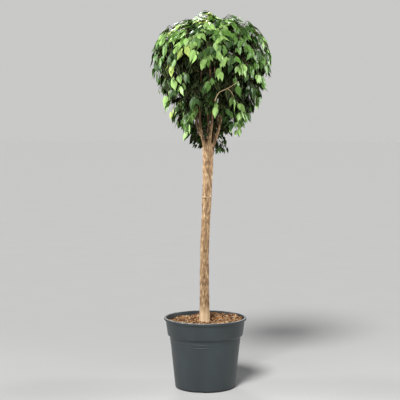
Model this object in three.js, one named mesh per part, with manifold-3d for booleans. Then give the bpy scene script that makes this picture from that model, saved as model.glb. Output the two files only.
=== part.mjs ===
// A weeping fig grown as a standard: one clean stem, a fork of boughs and a dense round head of drooping
// leaves, in a round nursery pot. Millimetres, +Z up, +X to the right, +Y away from the viewer.
// The origin is the middle of the pot's flat underside.

import * as THREE from "three";
import { mergeVertices } from "three/addons/utils/BufferGeometryUtils.js";
import Module from "manifold-3d";

// Clearance between two pieces that touch.
const GAP = 0.3;

// Clearance between the leaves of neighbouring masses and the flat seam between them.
const SEAM_GAP = 1;

// Edges shorter than this are closed up once a piece is fused.
const SHORT_EDGE = 0.1;

const POT = {
  height: 289,
  footRadius: 124,
  footCorner: 3,
  // The step where the narrower body meets the wide band under the lip.
  stepBelow: { radius: 146, height: 212 },
  stepAbove: { radius: 155.5, height: 219 },
  bandTopRadius: 163.4,
  lipRadius: 170,
  lipHeight: 9,
  lipRound: 2,
  wall: 3.2,
  floor: 4,
  segments: 36,
  ringHeights: [184, 198],
  ringWidth: 4,
  ringProud: 1,
  notches: 4,
  notchTurn: 79,
  notch: { width: 32, height: 6, depth: 14 },
  drain: { holes: 4, radius: 8, circle: 70, sides: 8 },
};

// The surface of the mix tilts a little, low on the left, with a level patch under the stem.
const MIX = { level: 268, tilt: 0.055, patch: 30, slopeFrom: 36, slopeTo: 70, rough: 100 };
const LUMP = { height: 2.5, lengthX: 23, lengthY: 19 };

const TRUNK = {
  forkHeight: 998,
  buried: 12,
  // Sideways drift of the centre line, and the radius, at even steps from the ground to the fork.
  drift: [
    [-2, 0],
    [-3, 1],
    [-3, 3],
    [3, 3],
    [9, 1],
    [12, 0],
  ],
  radii: [21.5, 19.5, 18.4, 18.2, 18.6, 20.5, 23.5],
  flare: 2.6,
  flareHeight: 26,
  // Two slow waves in the radius, each a height and a count of turns along the trunk.
  waves: [
    [0.5, 5],
    [0.35, 11],
  ],
  sides: 16,
  steps: 15,
};

// How far the sprays reach from the crown's centre: sideways, up and down. Shoulder and taper are the
// powers of the outline above and below its widest level. It is drawn in where the boughs enter.
const CROWN = {
  centre: new THREE.Vector3(24, 0, 1337),
  radius: 228,
  rise: 186,
  fall: 284,
  shoulder: 2.6,
  taper: 1.8,
  hollowFrom: 0.9,
  hollow: 0.45,
};

// The outline that the leaves keep to, which starts lower than the form that carries the sprays.
const OUTLINE = {
  centre: new THREE.Vector3(25, 0, 1300),
  radius: 256,
  rise: 246,
  fall: 350,
  shoulder: 2.7,
  taper: 1.7,
};

// How low leaves may hang: lowest at the sides, and lifted in front and behind where the fork shows, over a
// width that is open up to one distance from the fork and closed from another.
const SKIRT = { side: 1004, front: 1104, back: 1034, openTo: 45, closedFrom: 85 };

// The dense heart of each mass, as shares of the crown's reach, and the open middle that the boughs rise in.
// It is thicker by topMore at the top, where the leaves stand closest.
const CORE = { inner: 0.3, middle: 0.47, outer: 0.66, topMore: 0.1, lump: 0.03, channel: 56, seam: 1.2 };
const CORE_FACETS = { outer: 3, inner: 1, channel: 14 };

// Sprays over the whole crown. Each leaves a fork inside its mass and carries leaves towards its tip.
// Inset draws a spray towards the middle of its mass, so that its leaves have room beside the seam.
const SPRAY = {
  count: 102,
  lowest: 0.93,
  inset: 0.1,
  forkAt: 0.58,
  groupSize: 4,
  reach: [0.94, 1.06],
  // Added from spray to spray, and taken as a share of one, it spreads their reach evenly.
  reachTurn: 0.7549,
  droop: 16,
  branchRadius: 4.2,
  radius: 2.8,
  tipRadius: 1.5,
  leaves: 5,
  capLeaves: 7,
  firstLeaf: 0.98,
  lastLeaf: 0.36,
};

// The shoot that stands up a little at the very top.
const CREST = { azimuth: 240, elevation: 85, reach: 1.1 };

const LEAF = { length: 88, width: 50, thickness: 2.2, widest: 0.42, fold: 5, sunk: 1 };

// The chances of a leaf: how far it turns to its side, how far it lifts off the crown and its size.
const LEAF_RANGE = { turn: [0.35, 0.75], lift: [-0.12, 0.18], size: [0.88, 1.18] };

// The poses that a leaf tries in turn until one fits: a factor on its turn, an added lift, a factor on its
// size.
const LEAF_POSES = [
  [1, 0, 1],
  [-1, 0, 1],
  [0.2, 0.2, 1],
  [1.8, 0, 0.9],
  [-1.8, 0, 0.9],
  [4.5, 0, 0.9],
  [-4.5, 0, 0.9],
  [0.5, 0.5, 0.7],
  [-0.5, 0.5, 0.7],
  [0, 0, 0.65],
  [1, 0.8, 0.6],
  [-1, 0.8, 0.6],
];

// How a leaf hangs at the crown's side and at its top: its lean outwards and its pull downwards.
const HANG = { outSide: 0.22, outTop: 0.77, downSide: 1, downTop: 0.5, faceUp: 0.35 };

// A low twig at the fork that keeps to a ball of its own.
const FORK_SPRAY = {
  centre: new THREE.Vector3(66, 0, 1000),
  ball: 48,
  rootHeight: 972,
  run: 22,
  tipOut: 8,
  tipUp: 30,
  radius: 2.6,
  tipRadius: 1.2,
  sides: 4,
  leaves: 6,
  leafSize: 0.55,
};

// The masses: a cap, and six that hang side by side round the crown from the cap down. Azimuth 0 is to the
// right and 90 is away from the viewer. Elevation sets how the crown is shared out between them.
const MASSES = [
  { place: "top", azimuth: 0, elevation: 90, heart: 90, tier: "leader" },
  { place: "front", azimuth: 285, elevation: 20, heart: -6, tier: "inner" },
  { place: "front_right", azimuth: 345, elevation: 20, heart: -6, tier: "outer" },
  { place: "back_right", azimuth: 45, elevation: 20, heart: -6, tier: "inner" },
  { place: "back", azimuth: 105, elevation: 20, heart: -6, tier: "outer" },
  { place: "back_left", azimuth: 165, elevation: 20, heart: -6, tier: "inner" },
  { place: "front_left", azimuth: 225, elevation: 20, heart: -6, tier: "outer" },
];

// Where a bough leaves the trunk (out from its middle, below the fork), how far out it is at the fork, and
// where it ends (out from the crown's middle line, at a height), with its radius at the root.
const BOUGHS = {
  leader: { rootOut: 0, rootDrop: 20, bendOut: 0, tipOut: 0, tipHeight: 1388, radius: 6.6 },
  inner: { rootOut: 11, rootDrop: 20, bendOut: 13, tipOut: 56, tipHeight: 1310, radius: 6.4 },
  outer: { rootOut: 11, rootDrop: 36, bendOut: 22, tipOut: 56, tipHeight: 1294, radius: 6.8 },
};
const BOUGH = { tipShare: 0.6, collar: 1.5, collarShare: 0.25, sway: 9, sides: 7, steps: 7 };

// The run of a bough between fork and tip: share of the rise, share of the way out, share of the drift
// from the trunk's middle to the crown's.
const BOUGH_BENDS = [
  [0.28, 0.78, 0.05],
  [0.65, 0.96, 0.5],
];

// The stem of a mass: how far it runs straight on from its bough, and how much it thins.
const STEM = { straight: 8, thinning: 0.35, sides: 6, steps: 3 };

const UP = new THREE.Vector3(0, 0, 1);
const DOWN = new THREE.Vector3(0, 0, -1);
const GOLDEN_ANGLE = Math.PI * (3 - Math.sqrt(5));

const wasm = await Module();
wasm.setup();

// Numbers between two limits, in an order that is the same every time.
function seededRandom(seed) {
  let state = seed;
  return ([low, high]) => {
    state = (Math.imul(state, 1664525) + 1013904223) >>> 0;
    return low + ((high - low) * state) / 2 ** 32;
  };
}

function solidOf(geometry) {
  const bare = geometry.index ? geometry.toNonIndexed() : geometry.clone();
  bare.deleteAttribute("normal");
  bare.deleteAttribute("uv");
  const merged = mergeVertices(bare, 1e-3);
  return new wasm.Manifold(
    new wasm.Mesh({
      numProp: 3,
      vertProperties: merged.attributes.position.array,
      triVerts: new Uint32Array(merged.index.array),
    }),
  );
}

function geometryOf(solid) {
  const mesh = solid.getMesh();
  const geometry = new THREE.BufferGeometry();
  geometry.setAttribute("position", new THREE.BufferAttribute(mesh.vertProperties, 3));
  geometry.setIndex(new THREE.BufferAttribute(mesh.triVerts, 1));
  geometry.computeVertexNormals();
  return geometry;
}

// The largest body of a solid, so that a scrap left by a cut is dropped, without its shortest edges.
function mainBody(solid) {
  const bodies = solid.asOriginal().simplify(SHORT_EDGE).decompose();
  return bodies.reduce((a, b) => (b.volume() > a.volume() ? b : a));
}

function fused(pieces) {
  return mainBody(pieces.reduce((sum, piece) => sum.add(piece)));
}

function touches(a, b) {
  return !a.intersect(b).isEmpty();
}

// A value read off an evenly spaced list at a share from 0 to 1.
function along(list, share) {
  const place = THREE.MathUtils.clamp(share, 0, 1) * (list.length - 1);
  const low = Math.min(Math.floor(place), list.length - 2);
  return THREE.MathUtils.lerp(list[low], list[low + 1], place - low);
}

// A closed limb along a curve, with the radius that radiusAt gives at each share of the way.
// With grow, it is that much larger on every side.
function limbSolid(curve, radiusAt, sides, steps, grow = 0) {
  const geometry = new THREE.CylinderGeometry(1, 1, 1, sides, steps);
  const frames = curve.computeFrenetFrames(steps, false);
  const position = geometry.attributes.position;
  const point = new THREE.Vector3();
  for (let i = 0; i < position.count; i++) {
    const ring = Math.round((position.getY(i) + 0.5) * steps);
    const onAxis = Math.hypot(position.getX(i), position.getZ(i)) < 0.5;
    const radius = onAxis ? 0 : radiusAt(ring / steps) + grow;
    const angle = Math.atan2(position.getX(i), position.getZ(i));
    curve.getPointAt(ring / steps, point);
    if (ring === 0) point.addScaledVector(frames.tangents[0], -grow);
    if (ring === steps) point.addScaledVector(frames.tangents[steps], grow);
    point.addScaledVector(frames.normals[ring], radius * Math.cos(angle));
    point.addScaledVector(frames.binormals[ring], radius * Math.sin(angle));
    position.setXYZ(i, point.x, point.y, point.z);
  }
  return solidOf(geometry);
}

function latheGeometry(profile) {
  const points = profile.map(([radius, height]) => new THREE.Vector2(radius, height));
  return new THREE.LatheGeometry(points, POT.segments).rotateX(Math.PI / 2);
}

// The radius of a straight slope from one level of the pot to another.
function slope(low, high, height) {
  return THREE.MathUtils.mapLinear(height, low.height, high.height, low.radius, high.radius);
}

const FOOT = { radius: POT.footRadius, height: POT.footCorner };
const BAND_TOP = { radius: POT.bandTopRadius, height: POT.height - POT.lipHeight };

// The pot's inner radius at a height above its floor.
function innerRadius(height) {
  if (height <= POT.stepBelow.height) return slope(FOOT, POT.stepBelow, height) - POT.wall;
  if (height <= POT.stepAbove.height) return slope(POT.stepBelow, POT.stepAbove, height) - POT.wall;
  return slope(POT.stepAbove, BAND_TOP, height) - POT.wall;
}

// A low bead round the body, as three corners of the profile.
function beadProfile(height) {
  const half = POT.ringWidth / 2;
  return [
    [slope(FOOT, POT.stepBelow, height - half), height - half],
    [slope(FOOT, POT.stepBelow, height) + POT.ringProud, height],
    [slope(FOOT, POT.stepBelow, height + half), height + half],
  ];
}

function potSolid() {
  const { stepBelow, stepAbove, lipRadius, lipRound, height, floor } = POT;
  const shell = solidOf(
    latheGeometry([
      [0, 0],
      [POT.footRadius - POT.footCorner, 0],
      [POT.footRadius, POT.footCorner],
      ...POT.ringHeights.flatMap(beadProfile),
      [stepBelow.radius, stepBelow.height],
      [stepAbove.radius, stepAbove.height],
      [BAND_TOP.radius, BAND_TOP.height],
      [lipRadius, BAND_TOP.height + lipRound / 2],
      [lipRadius, height - lipRound],
      [lipRadius - lipRound, height],
      [innerRadius(height), height],
      [innerRadius(stepAbove.height), stepAbove.height],
      [innerRadius(stepBelow.height), stepBelow.height],
      [innerRadius(floor), floor],
      [0, floor],
    ]),
  );
  return mainBody([...drainNotches(), ...drainHoles()].reduce((pot, cut) => pot.subtract(cut), shell));
}

// Low arches in the foot, where water leaves the pot.
function drainNotches() {
  const { width, height, depth } = POT.notch;
  return Array.from({ length: POT.notches }, (_, i) => {
    const box = new THREE.BoxGeometry(2 * depth, width, 2 * height);
    box.translate(POT.footRadius, 0, 0);
    box.rotateZ((i / POT.notches) * 2 * Math.PI + THREE.MathUtils.degToRad(POT.notchTurn));
    return solidOf(box);
  });
}

function drainHoles() {
  const { holes, radius, circle, sides } = POT.drain;
  return Array.from({ length: holes }, (_, i) => {
    const hole = new THREE.CylinderGeometry(radius, radius, 4 * POT.floor, sides);
    hole.rotateX(Math.PI / 2).translate(circle, 0, 0);
    hole.rotateZ((i / holes) * 2 * Math.PI);
    return solidOf(hole);
  });
}

function mixHeight(x, y) {
  const fromStem = Math.hypot(x - TRUNK.drift[0][0], y - TRUNK.drift[0][1]);
  const freed = THREE.MathUtils.smoothstep(fromStem, MIX.slopeFrom, MIX.slopeTo);
  const lump = LUMP.height * Math.sin(x / LUMP.lengthX + 1) * Math.cos(y / LUMP.lengthY);
  return MIX.level + freed * (MIX.tilt * x + lump);
}

// The potting mix fills the pot. The rings of its top are moved onto its uneven surface.
function mixSolid() {
  const top = MIX.level;
  const edge = innerRadius(top) - GAP;
  const rings = [edge, MIX.rough, MIX.slopeTo, MIX.patch].map((radius) => [radius, top]);
  const blank = latheGeometry([
    [0, POT.floor + GAP],
    [innerRadius(POT.floor) - GAP, POT.floor + GAP],
    [innerRadius(POT.stepBelow.height) - GAP, POT.stepBelow.height],
    [innerRadius(POT.stepAbove.height) - 2 * GAP, POT.stepAbove.height + GAP],
    ...rings,
    [0, top],
  ]);
  const position = blank.attributes.position;
  for (let i = 0; i < position.count; i++) {
    if (position.getZ(i) < top - 1) continue;
    const [x, y] = [position.getX(i), position.getY(i)];
    const height = mixHeight(x, y);
    const stretch = Math.hypot(x, y) > edge - 1 ? (innerRadius(height) - GAP) / edge : 1;
    position.setXYZ(i, x * stretch, y * stretch, height);
  }
  return mainBody(solidOf(blank));
}

const TRUNK_LENGTH = TRUNK.forkHeight - MIX.level + TRUNK.buried;
const TRUNK_CURVE = new THREE.CatmullRomCurve3(
  TRUNK.drift.map(([x, y], i, all) => {
    const height = MIX.level - TRUNK.buried + (TRUNK_LENGTH * i) / (all.length - 1);
    return new THREE.Vector3(x, y, height);
  }),
);

function trunkRadius(share) {
  const height = share * TRUNK_LENGTH - TRUNK.buried;
  const flare = TRUNK.flare * Math.max(0, 1 - height / TRUNK.flareHeight) ** 2;
  const waves = TRUNK.waves.map(([size, turns]) => size * Math.sin(2 * Math.PI * turns * share + turns));
  return along(TRUNK.radii, share) + flare + waves.reduce((a, b) => a + b);
}

// The trunk, cut flat where it meets the mix.
function trunkSolid(grow = 0) {
  const whole = limbSolid(TRUNK_CURVE, trunkRadius, TRUNK.sides, TRUNK.steps, grow);
  const size = 4 * MIX.patch;
  const below = new THREE.BoxGeometry(size, size, size);
  below.translate(0, 0, MIX.level + GAP - grow - size / 2);
  return mainBody(whole.subtract(solidOf(below)));
}

function directionOf(azimuth, elevation) {
  const [a, e] = [azimuth, elevation].map(THREE.MathUtils.degToRad);
  return new THREE.Vector3(Math.cos(e) * Math.cos(a), Math.cos(e) * Math.sin(a), Math.sin(e));
}

for (const mass of MASSES) {
  mass.direction = directionOf(mass.azimuth, mass.elevation);
  mass.heartWay = directionOf(mass.azimuth, mass.heart);
}

// How far a round form reaches from its centre in a direction.
function roundReach(direction, form) {
  const height = direction.z > 0 ? form.rise : form.fall;
  const power = direction.z > 0 ? form.shoulder : form.taper;
  const flat = Math.hypot(direction.x, direction.y) / form.radius;
  return (flat ** power + (Math.abs(direction.z) / height) ** power) ** (-1 / power);
}

// A point at a share of the crown's reach, which is drawn in round the trunk.
function crownPoint(direction, share) {
  const hollow = CROWN.hollow * THREE.MathUtils.smoothstep(-direction.z, CROWN.hollowFrom, 1);
  return CROWN.centre.clone().addScaledVector(direction, share * (1 - hollow) * roundReach(direction, CROWN));
}

// A bough leaves the trunk near its top, runs up the open middle and ends where its mass begins.
function boughCurve(mass, random) {
  const { rootOut, rootDrop, bendOut, tipOut, tipHeight } = BOUGHS[mass.tier];
  const out = directionOf(mass.azimuth, 0);
  const side = new THREE.Vector3(-out.y, out.x, 0);
  const fork = TRUNK_CURVE.getPointAt(1);
  const rise = tipHeight - fork.z;
  const at = (distance, height, drift, sway) => {
    const middle = fork.clone().lerp(CROWN.centre, drift).setZ(height);
    return middle.addScaledVector(out, distance).addScaledVector(side, sway);
  };
  const bends = BOUGH_BENDS.map(([riseShare, outShare, drift]) => {
    const distance = THREE.MathUtils.lerp(bendOut, tipOut, outShare);
    return at(distance, fork.z + rise * riseShare, drift, random([-BOUGH.sway / 2, BOUGH.sway / 2]));
  });
  const root = at(rootOut, fork.z - rootDrop, 0, 0);
  const bend = at(bendOut, fork.z, 0, 0);
  return new THREE.CatmullRomCurve3([root, bend, ...bends, at(tipOut, tipHeight, 1, 0)]);
}

function boughRadius(mass) {
  const { radius } = BOUGHS[mass.tier];
  return (share) => {
    const collar = BOUGH.collar * Math.max(0, 1 - share / BOUGH.collarShare);
    return radius * THREE.MathUtils.lerp(1, BOUGH.tipShare, share) + collar;
  };
}

function boughSolid(mass, grow = 0) {
  return limbSolid(mass.bough, boughRadius(mass), BOUGH.sides, BOUGH.steps, grow);
}

// A three-sided twig between two points, its root sunk into what it grows from.
function twigSolid(from, to, startRadius, endRadius) {
  const root = from.clone().addScaledVector(to.clone().sub(from).normalize(), -startRadius);
  const radiusAt = (share) => THREE.MathUtils.lerp(startRadius, endRadius, share);
  return limbSolid(new THREE.LineCurve3(root, to), radiusAt, 3, 1).simplify(SHORT_EDGE);
}

// The corners of a leaf: a pointed blade that hangs along a direction, folded down from its midrib.
function leafCorners(base, direction, facing, size) {
  const across = new THREE.Vector3().crossVectors(direction, facing).normalize();
  const normal = new THREE.Vector3().crossVectors(across, direction).normalize();
  const at = (share, sideways, out) =>
    base
      .clone()
      .addScaledVector(direction, LEAF.length * size * share)
      .addScaledVector(across, sideways)
      .addScaledVector(normal, out);
  const half = (LEAF.width / 2) * size;
  return {
    base: at(0, 0, 0),
    tip: at(1, 0, 0),
    right: at(LEAF.widest, half, -LEAF.fold * size),
    left: at(LEAF.widest, -half, -LEAF.fold * size),
    ridge: at(LEAF.widest, 0, LEAF.thickness),
  };
}

function leafSolid({ base, tip, right, left, ridge }) {
  const faces = [
    [ridge, right, tip],
    [ridge, tip, left],
    [ridge, left, base],
    [ridge, base, right],
    [base, tip, right],
    [base, left, tip],
  ];
  const geometry = new THREE.BufferGeometry();
  const flat = faces.flat().flatMap((corner) => corner.toArray());
  geometry.setAttribute("position", new THREE.Float32BufferAttribute(flat, 3));
  return solidOf(geometry);
}

// Whether points lie in a mass's own share of the crown, clear of its neighbours by a margin.
function inOwnSpace(points, mass, margin) {
  return MASSES.every((other) => {
    if (other === mass) return true;
    const towards = mass.direction.clone().sub(other.direction).normalize();
    return points.every((point) => point.clone().sub(CROWN.centre).dot(towards) > margin);
  });
}

// Sprays spread evenly over the crown, down to where the boughs enter it, longer and shorter in turn, and
// the shoot that stands up at its top. Each has a way out of the crown and a share of its reach.
function crownSprays() {
  const even = Array.from({ length: SPRAY.count }, (_, i) => {
    const height = THREE.MathUtils.lerp(1, -SPRAY.lowest, (i + 0.5) / SPRAY.count);
    const angle = i * GOLDEN_ANGLE;
    const flat = Math.sqrt(1 - height * height);
    const way = new THREE.Vector3(flat * Math.cos(angle), flat * Math.sin(angle), height);
    return { way, reach: THREE.MathUtils.lerp(...SPRAY.reach, (i * SPRAY.reachTurn) % 1) };
  });
  return [...even, { way: directionOf(CREST.azimuth, CREST.elevation), reach: CREST.reach }];
}

// A way drawn a little towards the middle of its mass, and round the sides at the same height.
function insetWay(way, mass) {
  if (mass.elevation === 90) return way.clone().lerp(mass.direction, SPRAY.inset).normalize();
  const flat = Math.hypot(way.x, way.y);
  const turned = way.clone().setZ(0).normalize().lerp(directionOf(mass.azimuth, 0), SPRAY.inset);
  return turned.setLength(flat).setZ(way.z);
}

function nearestMass(way) {
  return MASSES.reduce((a, b) => (b.direction.dot(way) > a.direction.dot(way) ? b : a));
}

// A closed lumpy shell at a share of the crown's reach.
function crownShell(share, detail, lump, topMore) {
  const ball = new THREE.IcosahedronGeometry(1, detail);
  const position = ball.attributes.position;
  const direction = new THREE.Vector3();
  for (let i = 0; i < position.count; i++) {
    direction.fromBufferAttribute(position, i).normalize();
    const wave = Math.sin(9 * direction.x + 2) * Math.sin(8 * direction.y) * Math.sin(9 * direction.z + 1);
    const more = topMore * THREE.MathUtils.smoothstep(direction.z, 0.3, 0.8);
    position.setXYZ(i, ...crownPoint(direction, share + lump * wave + more).toArray());
  }
  return solidOf(ball);
}

// The dense hearts of all the masses before they are parted: a thick shell round an open middle.
function wholeCore() {
  const channel = new THREE.CylinderGeometry(CORE.channel, CORE.channel, CROWN.fall, CORE_FACETS.channel);
  channel.rotateX(Math.PI / 2).translate(...CROWN.centre.toArray());
  channel.translate(0, 0, -CROWN.fall / 2);
  return crownShell(CORE.outer, CORE_FACETS.outer, CORE.lump, CORE.topMore)
    .subtract(crownShell(CORE.inner, CORE_FACETS.inner, 0, 0))
    .subtract(solidOf(channel));
}

// A mass's own part of the core, parted from its neighbours by flat seams.
function coreSolid(mass, whole) {
  const size = 4 * CROWN.radius;
  return MASSES.filter((other) => other !== mass).reduce((core, other) => {
    const away = other.direction.clone().sub(mass.direction).normalize();
    const block = new THREE.BoxGeometry(size, size, size);
    block.translate(0, 0, size / 2 - CORE.seam);
    block.applyQuaternion(new THREE.Quaternion().setFromUnitVectors(UP, away));
    block.translate(...CROWN.centre.toArray());
    return core.subtract(solidOf(block));
  }, whole);
}

// How far out a point lies, as a share of the outline that the leaves keep to.
function outlineShare(point) {
  const offset = point.clone().sub(OUTLINE.centre);
  return offset.length() / roundReach(offset.clone().normalize(), OUTLINE);
}

// How low leaves may hang at a point: lowest at the sides, lifted in front and behind to show the fork.
function skirtHeight(point) {
  const { side, front, back, openTo, closedFrom } = SKIRT;
  const aside = Math.abs(point.x - TRUNK_CURVE.getPointAt(1).x);
  return THREE.MathUtils.lerp(
    point.y < 0 ? front : back,
    side,
    THREE.MathUtils.smoothstep(aside, openTo, closedFrom),
  );
}

// Which way a leaf hangs at a point: straight down at the sides, and down over the dome near the top.
function hangingWay(outward) {
  const top = Math.max(0, outward.z) ** 2;
  const out = THREE.MathUtils.lerp(HANG.outSide, HANG.outTop, top);
  const down = THREE.MathUtils.lerp(HANG.downSide, HANG.downTop, top);
  return new THREE.Vector3(outward.x, outward.y, 0).setLength(out).addScaledVector(DOWN, down);
}

// Adds a leaf to a space in the first of its poses that keeps to the space and touches nothing in it.
function placeLeaf(space, base, outward, hand, random) {
  const hang = hangingWay(outward);
  const side = new THREE.Vector3().crossVectors(hang, outward).normalize();
  const facing = outward.clone().addScaledVector(UP, HANG.faceUp);
  const turn = hand * random(LEAF_RANGE.turn);
  const lift = random(LEAF_RANGE.lift);
  const size = space.leafSize * random(LEAF_RANGE.size);
  for (const [turnShare, liftMore, sizeShare] of LEAF_POSES) {
    const direction = hang
      .clone()
      .addScaledVector(side, turn * turnShare)
      .addScaledVector(outward, lift + liftMore)
      .normalize();
    const root = base.clone().addScaledVector(direction, -LEAF.sunk);
    const corners = leafCorners(root, direction, facing, size * sizeShare);
    if (!space.owns(Object.values(corners), SEAM_GAP)) continue;
    const leaf = leafSolid(corners);
    if (touches(leaf, space.taken)) continue;
    space.leaves.push(leaf);
    space.taken = space.taken.add(leaf);
    return;
  }
}

// The sprays of a mass from the top down, in groups that share a fork.
function forkGroups(sprays) {
  const order = [...sprays].sort((a, b) => b.way.z - a.way.z);
  const groups = [];
  while (order.length) groups.push(order.splice(0, SPRAY.groupSize));
  return groups;
}

function sprayTip(spray) {
  const sag = SPRAY.droop * (1 - Math.max(0, spray.way.z));
  return crownPoint(spray.way, spray.reach).addScaledVector(DOWN, sag);
}

// Leaves from a spray's tip back towards its root, alternating from side to side. Says whether any fitted.
function addSprayLeaves(space, from, to, random) {
  const before = space.leaves.length;
  const outward = to.clone().sub(CROWN.centre).normalize();
  for (let i = 0; i < space.perSpray; i++) {
    const share = THREE.MathUtils.lerp(SPRAY.firstLeaf, SPRAY.lastLeaf, i / (space.perSpray - 1));
    placeLeaf(space, from.clone().lerp(to, share), outward, i % 2 ? 1 : -1, random);
  }
  return space.leaves.length > before;
}

// The stem of a mass, from just clear of its bough's tip into the heart.
function stemSolid(mass, heart) {
  const lead = mass.bough.getTangentAt(1);
  const start = mass.bough.getPointAt(1).addScaledVector(lead, GAP);
  const bend = start.clone().addScaledVector(lead, STEM.straight);
  const radius = boughRadius(mass)(1);
  const curve = new THREE.CatmullRomCurve3([start, bend, heart]);
  return limbSolid(curve, (share) => radius * (1 - STEM.thinning * share), STEM.sides, STEM.steps);
}

// One mass of foliage: a stem on from its bough, forks in the core, sprays out of it and their leaves.
function massSolid(mass, core, sprays, limbs, random) {
  const inOutline = (point) => outlineShare(point) < 1 && point.z > skirtHeight(point);
  const owns = (points, margin) => points.every(inOutline) && inOwnSpace(points, mass, margin);
  const perSpray = mass.tier === "leader" ? SPRAY.capLeaves : SPRAY.leaves;
  const space = { owns, taken: core.add(limbs), leaves: [], leafSize: 1, perSpray };
  const heart = crownPoint(mass.heartWay, CORE.middle);
  const wood = [core, stemSolid(mass, heart)];
  for (const group of forkGroups(sprays)) {
    const mean = group.reduce((sum, spray) => sum.add(spray.way), new THREE.Vector3()).normalize();
    const fork = crownPoint(mean, SPRAY.forkAt);
    const branch = twigSolid(heart, fork, SPRAY.branchRadius, SPRAY.radius);
    if (touches(branch, limbs)) continue;
    wood.push(branch);
    for (const spray of group) {
      const tip = sprayTip(spray);
      const twig = twigSolid(fork, tip, SPRAY.radius, SPRAY.tipRadius);
      if (!owns([fork, tip], SPRAY.radius + SEAM_GAP) || touches(twig, limbs)) continue;
      if (addSprayLeaves(space, fork, tip, random)) wood.push(twig);
    }
  }
  return fused([...wood, ...space.leaves]);
}

// The small leafy twig on the trunk's right side, just below the fork.
function forkSpraySolid(limbs, random) {
  const { centre, ball, rootHeight, run, tipOut, tipUp, radius, tipRadius, sides } = FORK_SPRAY;
  const share = (rootHeight - MIX.level + TRUNK.buried) / TRUNK_LENGTH;
  const root = TRUNK_CURVE.getPointAt(share);
  root.x += trunkRadius(share) - 2 * radius;
  const bend = root.clone().add(new THREE.Vector3(run, 0, run / 5));
  const tip = centre.clone().add(new THREE.Vector3(tipOut, 0, tipUp));
  const stem = new THREE.QuadraticBezierCurve3(root, bend, tip);
  const twig = limbSolid(stem, (part) => THREE.MathUtils.lerp(radius, tipRadius, part), sides, sides);
  const owns = (points, margin) => points.every((point) => point.distanceTo(centre) < ball - margin);
  const space = { owns, taken: limbs, leaves: [], leafSize: FORK_SPRAY.leafSize };
  for (let i = 0; i < FORK_SPRAY.leaves; i++) {
    const part = THREE.MathUtils.lerp(SPRAY.lastLeaf, SPRAY.firstLeaf, i / (FORK_SPRAY.leaves - 1));
    const outward = directionOf(THREE.MathUtils.radToDeg(i * GOLDEN_ANGLE), 20);
    placeLeaf(space, stem.getPointAt(part), outward, 1, random);
  }
  return fused([mainBody(twig.subtract(limbs)), ...space.leaves]);
}

// A ball round the fork spray that the other masses stay out of.
function forkSprayRoom() {
  const ball = new THREE.IcosahedronGeometry(FORK_SPRAY.ball * 1.1, 2);
  return solidOf(ball.translate(...FORK_SPRAY.centre.toArray()));
}

function standard(color, roughness) {
  return new THREE.MeshStandardMaterial({ color, roughness, metalness: 0 });
}

const MATERIALS = {
  pot: standard(0x454d50, 0.5),
  mix: standard(0x8a5a34, 0.95),
  bark: standard(0xa8835a, 0.85),
  leaf: standard(0x3f7a2c, 0.4),
};

const planter = new THREE.Group();
const tree = new THREE.Group();
const plant = new THREE.Group();
plant.add(planter, tree);

function addNode(group, name, solid, material) {
  const mesh = new THREE.Mesh(geometryOf(solid), material);
  mesh.name = name;
  group.add(mesh);
}

addNode(planter, "pot", potSolid(), MATERIALS.pot);
addNode(planter, "potting_mix", mixSolid(), MATERIALS.mix);
addNode(tree, "trunk", trunkSolid(), MATERIALS.bark);

// Each bough is cut clear of the trunk and of the boughs before it.
const random = seededRandom(7);
let limbs = trunkSolid(GAP);
for (const mass of MASSES) {
  mass.bough = boughCurve(mass, random);
  addNode(tree, "bough_" + mass.place, mainBody(boughSolid(mass).subtract(limbs)), MATERIALS.bark);
  limbs = limbs.add(boughSolid(mass, GAP));
}

const core = wholeCore().subtract(limbs);
const sprays = crownSprays();
const keptClear = limbs.add(forkSprayRoom());
for (const mass of MASSES) {
  const nearest = sprays.filter((spray) => nearestMass(spray.way) === mass);
  const own = nearest.map((spray) => ({ ...spray, way: insetWay(spray.way, mass) }));
  const solid = massSolid(mass, coreSolid(mass, core), own, keptClear, random);
  addNode(tree, "foliage_" + mass.place, solid, MATERIALS.leaf);
}
addNode(tree, "foliage_fork", forkSpraySolid(limbs, random), MATERIALS.leaf);

export default plant;
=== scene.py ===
"""A weeping fig grown as a standard in a round nursery pot, dressed for its picture.

The limbs, forks and sprays follow the named values and the rule of the model's source. They are carried on
here to finer twigs and to leaves of their real size, within the same reach. Lengths are millimetres until a
mesh is made. +Z is up, +X to the right and +Y away from the viewer.
"""

import math

import bpy
import numpy as np
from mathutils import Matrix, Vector, noise


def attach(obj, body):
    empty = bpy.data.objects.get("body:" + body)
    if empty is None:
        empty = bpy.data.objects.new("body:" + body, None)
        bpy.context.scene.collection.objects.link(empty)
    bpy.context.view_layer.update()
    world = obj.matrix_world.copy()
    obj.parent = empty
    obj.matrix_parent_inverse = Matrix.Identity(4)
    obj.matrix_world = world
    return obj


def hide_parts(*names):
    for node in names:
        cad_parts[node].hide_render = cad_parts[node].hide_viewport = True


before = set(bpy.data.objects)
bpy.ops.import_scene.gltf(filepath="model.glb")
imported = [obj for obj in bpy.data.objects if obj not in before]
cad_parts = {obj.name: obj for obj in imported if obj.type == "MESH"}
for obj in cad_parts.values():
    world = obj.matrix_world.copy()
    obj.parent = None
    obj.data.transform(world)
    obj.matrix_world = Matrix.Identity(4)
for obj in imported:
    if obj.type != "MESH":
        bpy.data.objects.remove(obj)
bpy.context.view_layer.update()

MM = 0.001
GOLDEN_ANGLE = math.pi * (3 - math.sqrt(5))
UP = np.array([0.0, 0.0, 1.0])

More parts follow.
